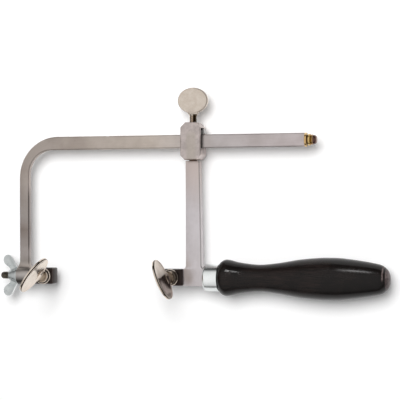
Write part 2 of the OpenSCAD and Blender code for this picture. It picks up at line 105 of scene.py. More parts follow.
def node(tree, kind, *sources, **settings):
    """A shader node: the sources go into its first inputs, and each setting is a property of the
    node or the source of the input with that name."""
    made = tree.nodes.new(kind)
    for key, value in settings.items():
        label = key.replace("_", " ")
        if label in made.inputs:
            feed(tree, made.inputs[label], value)
        else:
            setattr(made, key, value)
    for socket, source in zip(made.inputs, sources):
        feed(tree, socket, source)
    return made


def reckon(tree, operation, *sources, vector=False):
    """One step of arithmetic on sockets or plain values, or on vectors."""
    kind = "ShaderNodeVectorMath" if vector else "ShaderNodeMath"
    result = "Vector" if vector and operation != "LENGTH" else "Value"
    return node(tree, kind, *sources, operation=operation).outputs[result]


def all_of(tree, first, *others):
    """The mask where all of the masks hold, which is their product."""
    for other in others:
        first = reckon(tree, "MULTIPLY", first, other)
    return first


def scaled(tree, value, start, end, low=0.0, high=1.0, shape="LINEAR"):
    """A number that goes from low to high while the value goes from start to end."""
    step = node(tree, "ShaderNodeMapRange", value, start, end, low, high, interpolation_type=shape)
    return step.outputs["Result"]


def soft_step(tree, value, start, end, low=0.0, high=1.0):
    """A mask over a value: low before start, high after end, soft between them."""
    return scaled(tree, value, start, end, low, high, "SMOOTHSTEP")


def parts_of(tree, vector):
    """The three parts of a vector."""
    return node(tree, "ShaderNodeSeparateXYZ", vector).outputs


def mixed(tree, mask, under, over, kind="FLOAT", blend="MIX"):
    """One number or colour over another by a mask; each of the three is a socket or a value."""
    mix = node(tree, "ShaderNodeMix", mask, data_type=kind, blend_type=blend)
    first, result = {"FLOAT": (2, 0), "RGBA": (6, 2)}[kind]
    feed(tree, mix.inputs[first], under)
    feed(tree, mix.inputs[first + 1], over)
    return mix.outputs[result]


bpy.ops.mesh.primitive_plane_add(size=FLOOR_SIZE, location=(0, 0, cad_low.z))
table = bpy.context.object
table.name = "white_table"
material, tree = new_material("white_table")
paper = node(tree, "ShaderNodeBsdfDiffuse", (FLOOR_WHITE, FLOOR_WHITE, FLOOR_WHITE, 1.0))
glow = node(tree, "ShaderNodeEmission", Strength=FLOOR_GLOW)
no_glow = node(tree, "ShaderNodeEmission", Strength=0.0)
path = node(tree, "ShaderNodeLightPath").outputs
seen = reckon(tree, "MAXIMUM", path["Is Camera Ray"], path["Is Glossy Ray"])
shown_glow = node(tree, "ShaderNodeMixShader", seen, no_glow.outputs[0], glow.outputs[0])
lit = node(tree, "ShaderNodeAddShader", paper.outputs[0], shown_glow.outputs[0])
# The table's own underside is clear, so that the saw can be looked at from below
below = node(tree, "ShaderNodeNewGeometry").outputs["Backfacing"]
clear = node(tree, "ShaderNodeBsdfTransparent")
one_sided = node(tree, "ShaderNodeMixShader", below, lit.outputs[0], clear.outputs[0])
node(tree, "ShaderNodeOutputMaterial", one_sided.outputs[0])
table.data.materials.append(material)

world = bpy.data.worlds.new("studio")
bpy.context.scene.world = world
world.use_nodes = True
tree = world.node_tree
tree.nodes.clear()
axes = parts_of(tree, node(tree, "ShaderNodeTexCoord").outputs["Generated"])
# Polished metal shows the room: bright overhead, dark low down, most of all behind the back bar
behind = all_of(tree, soft_step(tree, axes["Y"], *WALL_BEHIND_Y),
                soft_step(tree, axes["Z"], *WALL_BEHIND_Z))
in_front = all_of(tree, soft_step(tree, axes["Y"], *WALL_IN_FRONT_Y),
                  soft_step(tree, axes["Z"], *WALL_IN_FRONT_Z))
walls = reckon(tree, "MAXIMUM", behind, in_front)
room = mixed(tree, walls, scaled(tree, axes["Z"], *CEILING_Z), WALL_LEVEL)
path = node(tree, "ShaderNodeLightPath").outputs
level = mixed(tree, path["Is Glossy Ray"], AMBIENT, room)
strength = mixed(tree, path["Is Camera Ray"], level, BACKDROP)
sky = node(tree, "ShaderNodeBackground", (1.0, 1.0, 1.0, 1.0), strength)
node(tree, "ShaderNodeOutputWorld", sky.outputs[0])

for name, target, aim, distance, (wide, high), spread, watts in LAMPS:
    light = bpy.data.lights.new(name, "AREA")
    light.shape = "ELLIPSE"
    light.size, light.size_y = wide, high
    light.energy = watts
    light.spread = spread
    lamp = bpy.data.objects.new(name, light)
    aim = Vector(aim).normalized()
    lamp.location = Vector(target) * MM + aim * distance
    lamp.rotation_mode = "QUATERNION"
    lamp.rotation_quaternion = aim.to_track_quat("Z", "Y")
    bpy.context.collection.objects.link(lamp)
    # The broad lamp only lights, and the small ones only make the streaks on the lacquer
    lamp.visible_glossy = name != "broad_lamp"
    lamp.visible_diffuse = name == "broad_lamp"

camera_data = bpy.data.cameras.new("photo_camera")
camera_data.lens = CAMERA_LENS
camera_data.sensor_width = SENSOR_WIDTH
camera = bpy.data.objects.new("photo_camera", camera_data)
camera.location = CAMERA_PLACE
camera.rotation_mode = "ZYX"
camera.rotation_euler = (0, CAMERA_TILT, CAMERA_ROLL)
bpy.context.collection.objects.link(camera)
bpy.context.scene.camera = camera
bpy.context.scene.view_settings.view_transform = "Standard"


# Back bar and front leg
# One strip of mild steel, forged to a round boss at the foot, bent and then ground satin along
# its length. Its edges are broken with a file, and the top of the bar has one drilled seat.
def tone(red, green, blue):
    """A colour given as it shows on screen, 0 to 255, as the linear values that a shader takes."""
    shown = [c / 255 for c in (red, green, blue)]
    linear = [c / 12.92 if c <= 0.04045 else ((c + 0.055) / 1.055) ** 2.4 for c in shown]
    return (*linear, 1.0)


STEEL_LIGHT = tone(255, 255, 255)
STEEL_DARK = tone(222, 219, 217)
STEEL_WORN = tone(190, 182, 177)
# The tone of the painted shade along the upper corner of the leg's sides
SIDE_SHADE = tone(92, 86, 84)
# Tones along the strip, in mm from the bend: the boss carries painted shade, a dark band above
# it, light across its middle and very dark below, and the leg has one band of heat tint
STRIP_TONES_AND_SHADE = (
    (-67, tone(46, 42, 39)), (-63, tone(188, 182, 178)), (-58, tone(186, 176, 168)),
    (-54, tone(158, 151, 146)), (-50, tone(176, 168, 165)), (-41, tone(170, 162, 158)),
    (-34, tone(146, 135, 129)), (-26, tone(170, 162, 158)), (5, tone(182, 171, 163)),
    (65, tone(208, 197, 187)), (106, tone(198, 191, 190)), (157, tone(206, 196, 196)),
)
BEND_CENTRE = Vector((-108.2, 63.4)) * MM
# The painted shade on the leg's sides fades out at the bend and towards the boss: soft steps along
# the strip
SIDE_SHADE_PAST_BEND = (-4 * MM, -14 * MM)
SIDE_SHADE_BY_BOSS = (-50 * MM, -42 * MM, 0.25, 1.0)
STRIP_SIDE_SHADE_TOP = 3.2
EDGE_BREAK = 0.22 * MM
FLAT_WITHIN = math.radians(1)
BROKEN_FROM = math.radians(32)
SMOOTH_BELOW = math.radians(30)


def pick(*pieces):
    """Selects these pieces and no others, the last one as the active one."""
    bpy.ops.object.select_all(action="DESELECT")
    for piece in pieces:
        piece.select_set(True)
    bpy.context.view_layer.objects.active = pieces[-1]


def rounded_copy(cad_name, name, width):
    """A copy of a CAD piece, its loose triangles merged, its flats joined and its edges rounded."""
    piece = bpy.data.objects.new(name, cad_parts[cad_name].data.copy())
    bpy.context.collection.objects.link(piece)
    pick(piece)
    # Two empty slots, of which the second marks the rounded faces
    piece.data.materials.clear()
    for _ in range(2):
        piece.data.materials.append(None)
    bpy.ops.object.mode_set(mode="EDIT")
    bpy.ops.mesh.select_all(action="SELECT")
    bpy.ops.mesh.remove_doubles(threshold=0.002 * MM)
    bpy.ops.mesh.dissolve_limited(angle_limit=FLAT_WITHIN)
    bpy.ops.object.mode_set(mode="OBJECT")
    bevel = piece.modifiers.new("rounded_edges", "BEVEL")
    bevel.width = width
    bevel.segments = 2
    bevel.limit_method = "ANGLE"
    bevel.angle_limit = BROKEN_FROM
    bevel.material = 1
    bpy.ops.object.modifier_apply(modifier=bevel.name)
    # The rounded faces and the sides are kept as attributes, for wear and for the painted shade on
    # the sides
    faces = piece.data.polygons
    for label, values in (("edge", [float(face.material_index) for face in faces]),
                          ("side", [float(abs(face.normal.z) < 0.8) for face in faces])):
        piece.data.attributes.new(label, "FLOAT", "FACE").data.foreach_set("value", values)
    bpy.ops.object.shade_smooth_by_angle(angle=SMOOTH_BELOW)
    return piece


def put_on(piece, material, body, cad_name):
    """Gives a finished piece its material, the body that it rides on and the node it stands for."""
    piece.data.materials.clear()
    piece.data.materials.append(material)
    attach(piece, body)
    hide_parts(cad_name)


def new_group(name, **inputs):
    """A shader node group that gives one number, and its inputs, each with its usual value."""
    group = bpy.data.node_groups.new(name, "ShaderNodeTree")
    for label, value in inputs.items():
        kind = "NodeSocketVector" if isinstance(value, tuple) else "NodeSocketFloat"
        socket = group.interface.new_socket(name=label, in_out="INPUT", socket_type=kind)
        socket.default_value = value
    group.interface.new_socket(name="Mask", in_out="OUTPUT", socket_type="NodeSocketFloat")
    return group, node(group, "NodeGroupInput").outputs


# Fine lines of a grinding belt or a file: noise drawn out along one direction
lines_group, given = new_group("ground_lines", Vector=(0, 0, 0), Stretch=(60, 3000, 3000))
stretched = reckon(lines_group, "MULTIPLY", given["Vector"], given["Stretch"], vector=True)
noise = node(lines_group, "ShaderNodeTexNoise", Vector=stretched, Scale=1.0, Detail=4.0,
             Roughness=0.6)
node(lines_group, "NodeGroupOutput", scaled(lines_group, noise.outputs["Fac"], 0.3, 0.7))

# Soft clouds of handling, film and uneven plating
clouds_group, given = new_group("cloudy_film", Vector=(0, 0, 0), Scale=120.0, Detail=3.0)
noise = node(clouds_group, "ShaderNodeTexNoise", Roughness=0.55, Vector=given["Vector"],
             Scale=given["Scale"], Detail=given["Detail"])
node(clouds_group, "NodeGroupOutput", soft_step(clouds_group, noise.outputs["Fac"], 0.32, 0.68))

LINES_SHARE = 0.35
CLOUDS_SHARE = 0.65
RUBBED_BY_CLOUDS = (0.1, 0.8, 0.35, 0.9)
LINE_DEPTH = 0.02 * MM


def texture(tree, group, place, **values):
    """The number that one of these groups gives at a place, with the material's own values."""
    return node(tree, "ShaderNodeGroup", node_tree=group, Vector=place, **values).outputs[0]


def painted(tree, mask, under, over, blend="MIX"):
    """One colour over another by a mask; each of the three is a socket or a plain value."""
    return mixed(tree, mask, under, over, "RGBA", blend)


def tones_along(tree, value, stops):
    """Tones that follow each other along a length: stops hold (mm, tone)."""
    low, high = stops[0][0], stops[-1][0]
    ramp = node(tree, "ShaderNodeValToRGB", scaled(tree, value, low * MM, high * MM))
    elements = ramp.color_ramp.elements
    elements[0].color, elements[1].color = stops[0][1], stops[-1][1]
    for place, shade in stops[1:-1]:
        elements.new((place - low) / (high - low)).color = shade
    return ramp.outputs["Color"]


def finished(tree, colour, gloss, height, bump, depth, **settings):
    """Ends a material with its shader: colour, gloss and a fine relief that follows a height."""
    relief = node(tree, "ShaderNodeBump", Height=height, Strength=bump, Distance=depth)
    shader = node(tree, "ShaderNodeBsdfPrincipled", Base_Color=colour, Roughness=gloss,
                  Normal=relief.outputs["Normal"], **settings)
    node(tree, "ShaderNodeOutputMaterial", shader.outputs[0])


def metal(name, light, dark, roughness, spread, stretch, cloud_scale, bump, vector=None,
          marks=None, worn=None):
    """A metal whose colour clouds between two tones, with ground lines in its gloss and surface.
    marks adds what is special to a piece, and worn is the tone of its rubbed edges."""
    material, tree = new_material(name)
    place = node(tree, "ShaderNodeTexCoord").outputs["Object"]
    along = vector(tree, place) if vector else place
    lines = texture(tree, lines_group, along, Stretch=stretch)
    clouds = texture(tree, clouds_group, place, Scale=cloud_scale)
    blend = reckon(tree, "ADD", reckon(tree, "MULTIPLY", lines, LINES_SHARE),
                   reckon(tree, "MULTIPLY", clouds, CLOUDS_SHARE))
    colour = painted(tree, blend, dark, light)
    gloss = scaled(tree, blend, 0.0, 1.0, roughness - spread, roughness + spread)
    if marks:
        colour, gloss = marks(tree, place, colour, gloss)
    if worn:
        edge = node(tree, "ShaderNodeAttribute", attribute_name="edge").outputs["Fac"]
        rubbed = all_of(tree, edge, soft_step(tree, clouds, *RUBBED_BY_CLOUDS))
        colour = painted(tree, rubbed, colour, worn)
    finished(tree, colour, gloss, lines, bump, LINE_DEPTH, Metallic=1.0)
    return material


def along_the_strip(tree, place):
    """Coordinates that follow the strip: along it, across it and through it."""
    moved = reckon(tree, "SUBTRACT", place, (*BEND_CENTRE, 0), vector=True)
    parts = parts_of(tree, moved)
    corner = node(tree, "ShaderNodeCombineXYZ", reckon(tree, "MINIMUM", parts["X"], 0.0),
                  reckon(tree, "MAXIMUM", parts["Y"], 0.0)).outputs[0]
    across = reckon(tree, "LENGTH", corner, vector=True)
    run = parts_of(tree, reckon(tree, "SUBTRACT", moved, corner, vector=True))
    along = reckon(tree, "ADD", run["X"], run["Y"])
    return node(tree, "ShaderNodeCombineXYZ", along, across, parts["Z"]).outputs[0]


def shade_on_sides(tree, place, colour, top, where=1.0):
    """Painted shade: a dark band along the upper corner of the sides, where a dark reflection
    falls.
    """
    side = node(tree, "ShaderNodeAttribute", attribute_name="side").outputs["Fac"]
    high = soft_step(tree, parts_of(tree, place)["Z"], -0.3 * top * MM, top * MM, 0.12, 1.0)
    return painted(tree, all_of(tree, side, high, where), colour, SIDE_SHADE)


def strip_marks(tree, place, colour, gloss):
    """The strip's tones over its ground finish, with painted shade on the boss, and painted shade
    along the upper corner of the leg's sides.
    """
    run = parts_of(tree, along_the_strip(tree, place))["X"]
    # These tones hold the painted shade on the boss as well as the strip's own tones
    tones_and_shade = tones_along(tree, run, STRIP_TONES_AND_SHADE)
    colour = painted(tree, 1.0, colour, tones_and_shade, "MULTIPLY")
    on_leg = all_of(tree, soft_step(tree, run, *SIDE_SHADE_PAST_BEND),
                    soft_step(tree, run, *SIDE_SHADE_BY_BOSS))
    return shade_on_sides(tree, place, colour, STRIP_SIDE_SHADE_TOP, on_leg), gloss


bow = rounded_copy("bow", "bow_strip", EDGE_BREAK)
satin_steel = metal("satin_steel", STEEL_LIGHT, STEEL_DARK, roughness=0.34, spread=0.07,
                    stretch=(90, 4200, 4200), cloud_scale=70, bump=0.25, vector=along_the_strip,
                    marks=strip_marks, worn=STEEL_WORN)
put_on(bow, satin_steel, "bow", "bow")


# Brass end stop
# A turned washer and a small knob screw at the free end of the bar, which keep the slider on.
# Both are bare brass with rings from the lathe, darker in the groove.
BAR_END = 53.9
BAR_MIDDLE_Y = 84.2
BRASS_LIGHT = tone(255, 255, 250)
BRASS_DARK = tone(206, 196, 180)
# From the washer to the knob's end: clean turned rings, darker grooves and waist, and a
# purple-brown end, a painted reflection of the shaded table below it
BRASS_TONES_AND_REFLECTION = (
    (53.9, tone(236, 206, 158)), (55.2, tone(228, 192, 138)), (55.5, tone(84, 58, 28)),
    (55.9, tone(96, 70, 34)), (56.2, tone(246, 220, 166)), (57.1, tone(226, 194, 130)),
    (57.5, tone(146, 106, 40)), (58.4, tone(120, 82, 24)), (58.65, tone(232, 206, 150)),
    (58.85, tone(120, 92, 84)), (60.2, tone(92, 70, 68)), (61.2, tone(150, 124, 116)),
)
RING_STEPS = 72


def drawn_line(name, points):
    """A new piece, in edit mode, that is a line of edges through the points, given in mm."""
    bpy.ops.mesh.primitive_plane_add(size=MM, location=(0, 0, 0))
    piece = bpy.context.object
    piece.name = name
    bpy.ops.object.mode_set(mode="EDIT")
    bpy.ops.mesh.select_mode(type="VERT")
    bpy.ops.mesh.select_all(action="SELECT")
    bpy.ops.mesh.merge(type="CENTER")
    bpy.ops.transform.translate(value=[c * MM for c in points[0]])
    for last, point in zip(points[:-1], points[1:]):
        step = [(there - here) * MM for here, there in zip(last, point)]
        bpy.ops.mesh.extrude_region_move(TRANSFORM_OT_translate={"value": step})
    bpy.ops.mesh.select_all(action="SELECT")
    return piece


def turned(name, outline, centre, along="X", steps=RING_STEPS):
    """A turned piece: outline holds (place along the axis, radius), in mm from the centre."""
    piece = drawn_line(name, [(place, 0, radius) for place, radius in outline])
    bpy.ops.mesh.spin(steps=steps, angle=2 * math.pi, center=(0, 0, 0), axis=(1, 0, 0))
    bpy.ops.mesh.select_all(action="SELECT")
    bpy.ops.mesh.remove_doubles(threshold=0.0005 * MM)
    bpy.ops.mesh.normals_make_consistent(inside=False)
    bpy.ops.object.mode_set(mode="OBJECT")
    piece.rotation_euler = (0, -math.pi / 2 if along == "Z" else 0, 0)
    piece.location = Vector(centre) * MM
    bpy.ops.object.transform_apply(location=True, rotation=True, scale=True)
    bpy.ops.object.shade_smooth_by_angle(angle=SMOOTH_BELOW)
    return piece


def arc(centre_place, centre_radius, size, start, end, count=6):
    """Outline points of a round stretch, its angles in degrees from the axis' direction."""
    turns = [math.radians(start + (end - start) * i / count) for i in range(count + 1)]
    return [(centre_place + size * math.cos(t), centre_radius + size * math.sin(t)) for t in turns]


end_washer = turned(
    "end_washer_ring",
    [(0, 1.35), *arc(0.25, 4.0, 0.25, 180, 90), *arc(1.1, 3.85, 0.4, 90, 0), (1.5, 1.35),
     (0, 1.35)],
    (BAR_END, BAR_MIDDLE_Y, 0),
)
knob = turned(
    "end_knob",
    [(0, 0), (0, 3.0), (0.5, 3.0), *arc(0.85, 3.3, 0.25, 180, 90, 4),
     *arc(1.7, 3.3, 0.25, 90, 0, 4), (2.1, 3.08), (2.4, 2.98), (2.8, 3.0), (3.05, 3.15),
     (3.3, 3.2), (3.42, 3.0), (3.55, 2.85), (4.3, 2.78), (4.9, 2.55), (5.35, 2.2), (5.62, 1.9),
     (5.7, 1.7), (5.6, 1.5), (5.55, 0)],
    (BAR_END + 1.5, BAR_MIDDLE_Y, 0),
)


def brass_marks(tree, place, colour, gloss):
    """The tones of the washer and the knob, one ring after the other, the knob's end a painted
    reflection.
    """
    tones_and_shade = tones_along(tree, parts_of(tree, place)["X"], BRASS_TONES_AND_REFLECTION)
    return painted(tree, 1.0, colour, tones_and_shade, "MULTIPLY"), gloss


brass = metal("turned_brass", BRASS_LIGHT, BRASS_DARK, roughness=0.16, spread=0.07,
              stretch=(9000, 300, 300), cloud_scale=350, bump=0.2, marks=brass_marks)
put_on(end_washer, brass, "bow", "end_washer")
put_on(knob, brass, "bow", "end_screw")


# Slider
# A cast block with a passage for the bar, filed on its outer faces, and a tapered leg brazed
# into it from below. The foot of the leg is ground across, towards the handle.
CAST_LIGHT = tone(213, 201, 197)
CAST_DARK = tone(174, 164, 160)
CAST_BROWN = tone(180, 171, 160)
LEG_LIGHT = tone(214, 208, 210)
LEG_DARK = tone(194, 187, 188)
LEG_WARM = tone(202, 186, 178)
BRAZE = tone(112, 84, 62)
BRAZE_LINE_Y = 72.6
# The passage in the block: its middle and its half sizes
PASSAGE_MIDDLE = (-16.7, 86.15, 1.35)
PASSAGE_HALF = (6.3, 6.35, 4.12)
# The painted shade inside the passage
PASSAGE_SHADE = tone(20, 18, 17)
# A brown band down the middle of the block's face: its middle, and the soft steps of its width
# and of its top
BROWN_MIDDLE_X = -16.2
BROWN_WIDTH = (4.5 * MM, 1.5 * MM, 0.0, 0.6)
BROWN_TOP = (92 * MM, 87 * MM)
LEG_WARM_Y = (38 * MM, 70 * MM, 0.0, 0.75)
LEG_SIDE_SHADE_TOP = 3.3


def away_from(tree, value, mark):
    """How far a value is from a mark, to either side."""
    return reckon(tree, "ABSOLUTE", reckon(tree, "SUBTRACT", value, mark))


def block_marks(tree, place, colour, gloss):
    """The passage is painted near black, as painted shade inside it, the face is browned down its
    middle, and a little braze runs out below."""
    from_middle = reckon(tree, "SUBTRACT", place, Vector(PASSAGE_MIDDLE) * MM, vector=True)
    distance = reckon(tree, "ABSOLUTE", from_middle, vector=True)
    over = reckon(tree, "SUBTRACT", distance, Vector(PASSAGE_HALF) * MM, vector=True)
    over = parts_of(tree, over)
    furthest = reckon(tree, "MAXIMUM", reckon(tree, "MAXIMUM", over["X"], over["Y"]), over["Z"])
    colour = painted(tree, reckon(tree, "LESS_THAN", furthest, 0.0), colour, PASSAGE_SHADE)
    parts = parts_of(tree, place)
    from_line = away_from(tree, parts["X"], BROWN_MIDDLE_X * MM)
    brown = all_of(tree, soft_step(tree, from_line, *BROWN_WIDTH),
                   soft_step(tree, parts["Y"], *BROWN_TOP))
    colour = painted(tree, brown, colour, CAST_BROWN)
    braze = soft_step(tree, parts["Y"], (BRAZE_LINE_Y + 0.9) * MM, (BRAZE_LINE_Y + 0.2) * MM,
                      0.0, 0.5)
    return painted(tree, braze, colour, BRAZE), gloss


def leg_marks(tree, place, colour, gloss):
    """Warmer towards the block, where the brazing heated it, with the braze itself at the joint,
    and painted shade along the upper corner of the sides.
    """
    up = parts_of(tree, place)["Y"]
    colour = painted(tree, soft_step(tree, up, *LEG_WARM_Y), colour, LEG_WARM)
    braze = soft_step(tree, up, (BRAZE_LINE_Y - 1.1) * MM, (BRAZE_LINE_Y - 0.2) * MM)
    colour = painted(tree, braze, colour, BRAZE)
    return shade_on_sides(tree, place, colour, LEG_SIDE_SHADE_TOP), gloss


block = rounded_copy("slider_block", "slider_block_cast", 0.25 * MM)
cast_steel = metal("filed_casting", CAST_LIGHT, CAST_DARK, roughness=0.4, spread=0.08,
                   stretch=(700, 700, 700), cloud_scale=240, bump=0.5, marks=block_marks,
                   worn=tone(222, 214, 208))
put_on(block, cast_steel, "slider", "slider_block")

leg = rounded_copy("slider_leg", "slider_leg_bar", 0.3 * MM)
leg_steel = metal("ground_leg", LEG_LIGHT, LEG_DARK, roughness=0.34, spread=0.06,
                  stretch=(4200, 110, 4200), cloud_scale=90, bump=0.25, marks=leg_marks,
                  worn=tone(206, 200, 198))
put_on(leg, leg_steel, "slider", "slider_leg")

# The shoe and the tang are hidden, so they stay as the CAD made them, in raw steel
hidden_steel = metal("raw_steel", tone(190, 188, 186), tone(150, 148, 146), roughness=0.4,
                     spread=0.06, stretch=(60, 3000, 3000), cloud_scale=200, bump=0.2)
for plain_node in ("pressure_shoe", "handle_tang"):
    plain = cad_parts[plain_node]
    plain.data.materials.clear()
    plain.data.materials.append(hidden_steel)


# Ferrule and handle
# A drawn steel tube with a rolled front edge, plated bright, grips the turned wooden handle.
# The wood is dipped in black lacquer, which is rubbed thin on the butt, round the lathe's mark.
FERRULE_FRONT = -9.4
# The painted shade on the tube's underside: its tone, and the soft step of its reach in Y
FERRULE_UNDERSIDE_SHADE = tone(196, 200, 200)
FERRULE_UNDERSIDE_SHADE_Y = (-5.2 * MM, -6.4 * MM, 0.0, 0.6)
LACQUER = tone(14, 11, 10)
LACQUER_HAZE = tone(34, 26, 24)
RUBBED = tone(108, 96, 94)
RUBBED_DARK = tone(62, 50, 50)
# Where the lacquer is rubbed through, from an edge on the butt, and a painted highlight: a line
# in the rubbed tone before that edge, on the upper half
RUBBED_FROM_X = 102.8
RUBBED_EDGE = 0.4
HIGHLIGHT_LINE_OFFSET = 1.3
HIGHLIGHT_LINE_WIDTH = (0.6 * MM, 0.3 * MM)
HIGHLIGHT_LINE_Y = (-1.5 * MM, 1 * MM)
RUBBED_GLOSS = 0.14
LACQUER_SHINE = 0.2
LACQUER_GLOSS = (0.0, 1.0, 0.18, 0.26)
SPECK_SCALE = 420.0
HANDLE_LENGTH = 105.1
HANDLE_RADIUS = 12.85
# Shares of the handle's length and of its largest radius
HANDLE_SHARES = (
    (0, 0.61), (0.014, 0.775), (0.046, 0.876), (0.12, 0.745), (0.243, 0.64), (0.363, 0.742),
    (0.482, 0.904), (0.6, 0.99), (0.66, 1), (0.72, 0.984), (0.834, 0.87), (0.944, 0.7),
    (0.972, 0.58), (0.991, 0.42), (1, 0.26),
)


def smooth_curve(points, steps):
    """A smooth line through outline points, a cubic from each to the next."""
    def slope(i):
        a, b = points[max(i - 1, 0)], points[min(i + 1, len(points) - 1)]
        return (b[1] - a[1]) / (b[0] - a[0])

    line = []
    for i in range(len(points) - 1):
        (x0, y0), (x1, y1) = points[i], points[i + 1]
        for k in range(steps):
            u = k / steps
            line.append((
                x0 + u * (x1 - x0),
                (2 * u**3 - 3 * u**2 + 1) * y0 + (u**3 - 2 * u**2 + u) * slope(i) * (x1 - x0)
                + (3 * u**2 - 2 * u**3) * y1 + (u**3 - u**2) * slope(i + 1) * (x1 - x0),
            ))
    return [*line, points[-1]]


ferrule = turned(
    "ferrule_tube",
    [(0, 2.4), (0, 6.9), *arc(1.5, 7.0, 1.5, 180, 90, 10), (9.25, 8.5), (9.4, 8.35), (9.4, 7.7),
     (0.8, 7.7), (0.8, 2.4), (0, 2.4)],
    (FERRULE_FRONT, 0, 0), steps=128,
)


def ferrule_marks(tree, place, colour, gloss):
    """Painted shade: the underside of the tube is darker, for the shaded table that it reflects."""
    low = soft_step(tree, parts_of(tree, place)["Y"], *FERRULE_UNDERSIDE_SHADE_Y)
    return painted(tree, low, colour, FERRULE_UNDERSIDE_SHADE), gloss


bright_plate = metal("bright_plate", tone(248, 250, 249), tone(236, 239, 238), roughness=0.16,
                     spread=0.04, stretch=(900, 60, 60), cloud_scale=150, bump=0.05,
                     marks=ferrule_marks)
put_on(ferrule, bright_plate, "slider", "ferrule")

handle_curve = [(along * HANDLE_LENGTH, out * HANDLE_RADIUS) for along, out in HANDLE_SHARES]
handle = turned(
    "handle_turned",
    [(52.0, 0), (52.0, 2.35), (-8.5, 2.35), (-8.5, 7.6), (0, 7.6), *smooth_curve(handle_curve, 5),
     (HANDLE_LENGTH, 0.9), (HANDLE_LENGTH - 0.9, 0.5), (HANDLE_LENGTH - 1.4, 0)],
    (0, 0, 0), steps=128,
)
material, tree = new_material("black_lacquer")
place = node(tree, "ShaderNodeTexCoord").outputs["Object"]
haze = texture(tree, clouds_group, place, Scale=55.0, Detail=4.0)
streaks = texture(tree, lines_group, place, Stretch=(60, 900, 900))
colour = painted(tree, reckon(tree, "MULTIPLY", haze, streaks), LACQUER, LACQUER_HAZE)
# The rubbed end, and the painted highlight line before it, take the wood's tones in specks
speck = texture(tree, clouds_group, place, Scale=SPECK_SCALE, Detail=4.0)
parts = parts_of(tree, place)
rubbed = soft_step(tree, parts["X"], RUBBED_FROM_X * MM, (RUBBED_FROM_X + RUBBED_EDGE) * MM)
# The painted highlight: a lighter line before the rubbed edge, on the upper half of the butt
from_line = away_from(tree, parts["X"], (RUBBED_FROM_X - HIGHLIGHT_LINE_OFFSET) * MM)
line = all_of(tree, soft_step(tree, from_line, *HIGHLIGHT_LINE_WIDTH),
              soft_step(tree, parts["Y"], *HIGHLIGHT_LINE_Y))
rubbed = reckon(tree, "MAXIMUM", rubbed, line)
colour = painted(tree, rubbed, colour, painted(tree, speck, RUBBED_DARK, RUBBED))
gloss = reckon(tree, "ADD", soft_step(tree, haze, *LACQUER_GLOSS),
               reckon(tree, "MULTIPLY", rubbed, RUBBED_GLOSS))
finished(tree, colour, gloss, haze, bump=0.12, depth=0.05 * MM, Specular_IOR_Level=LACQUER_SHINE)
put_on(handle, material, "slider", "handle")


# Blade jaws
# Two blocks of black oxide steel on the blade line, each with a plated washer that a thumb screw
# presses on the blade. Blade ends go between washer and block.
REAR_SCREW_X = -30.1
FRONT_SCREW_X = -114.9
WASHER_LOW = 4.65
# The soft steps of the washers' marks: the dirty ring, and the reach of the painted shade beside
# the collar, in X and to both sides
RING_RADIUS = (4.85 * MM, 4.65 * MM, 0.0, 0.92)
COLLAR_SHADE_X = (1.0 * MM, 2.4 * MM)
COLLAR_SHADE_MIDDLE_Y = 1.0
COLLAR_SHADE_REACH = (3.4 * MM, 2.2 * MM, 0.0)

black_oxide = metal("black_oxide", tone(58, 50, 48), tone(34, 29, 28), roughness=0.34, spread=0.08,
                    stretch=(800, 800, 800), cloud_scale=300, bump=0.3, worn=tone(96, 84, 80))
for jaw_name, body in (("rear_jaw", "slider"), ("front_jaw", "front_jaw")):
    jaw = rounded_copy(jaw_name, jaw_name + "_block", 0.2 * MM)
    put_on(jaw, black_oxide, body, jaw_name)

NICKEL_LIGHT = tone(238, 226, 214)
NICKEL_DARK = tone(212, 197, 182)
# A dark tone for dirt, and for the painted shade and dark reflections on the screws and washers
TARNISH_AND_SHADE = tone(52, 44, 38)


def far_out(tree, vector, keep):
    """How far out a point is, counted along the axes that are kept."""
    flat = reckon(tree, "MULTIPLY", vector, keep, vector=True)
    return reckon(tree, "LENGTH", flat, vector=True)


def washer_marks(screw_x, collar_shade):
    """Dirt in the dished ring round the screw's collar, and painted shade beside the collar on the
    side towards +X.
    """
    def marks(tree, place, colour, gloss):
        out = reckon(tree, "SUBTRACT", place, (screw_x * MM, 0, 0), vector=True)
        ring = soft_step(tree, far_out(tree, out, (1, 1, 0)), *RING_RADIUS)
        colour = painted(tree, ring, colour, TARNISH_AND_SHADE)
        parts = parts_of(tree, out)
        aside = away_from(tree, parts["Y"], COLLAR_SHADE_MIDDLE_Y * MM)
        # Painted shade beside the collar, on the side towards +X
        black = all_of(tree, soft_step(tree, parts["X"], *COLLAR_SHADE_X),
                       soft_step(tree, aside, *COLLAR_SHADE_REACH, collar_shade))
        return painted(tree, black, colour, TARNISH_AND_SHADE), gloss
    return marks


# Each washer: its name, place in X, body and the strength of its painted shade beside the collar
for washer_name, place, body, collar_shade in (
    ("rear_clamp_plate", REAR_SCREW_X, "rear_plate", 0.85),
    ("front_clamp_plate", FRONT_SCREW_X, "front_plate", 0.0),
):
    washer = turned(
        washer_name + "_washer",
        [(0, 2.45), (0, 4.7), *arc(0.4, 4.7, 0.4, 180, 90, 4), *arc(1.0, 4.7, 0.4, 90, 0, 4),
         (1.4, 4.6), (1.15, 4.35), (1.15, 4.1), (1.35, 3.6), (1.35, 2.6), (1.2, 2.45), (0, 2.45)],
        (place, 0, WASHER_LOW), along="Z",
    )
    nickel = metal(washer_name + "_nickel", NICKEL_LIGHT, NICKEL_DARK, roughness=0.13, spread=0.05,
                   stretch=(500, 500, 500), cloud_scale=160, bump=0.1,
                   marks=washer_marks(place, collar_shade))
    put_on(washer, nickel, body, washer_name)


# Thumb screws
# Forged screws: a threaded shank, a collar on the two that clamp the blade, and a neck that is
# drawn out to a flat oval spade. The spade's rim is rounded over, and a dark line along one of its
# corners is a painted reflection.
COLLAR_LOW = 6.1
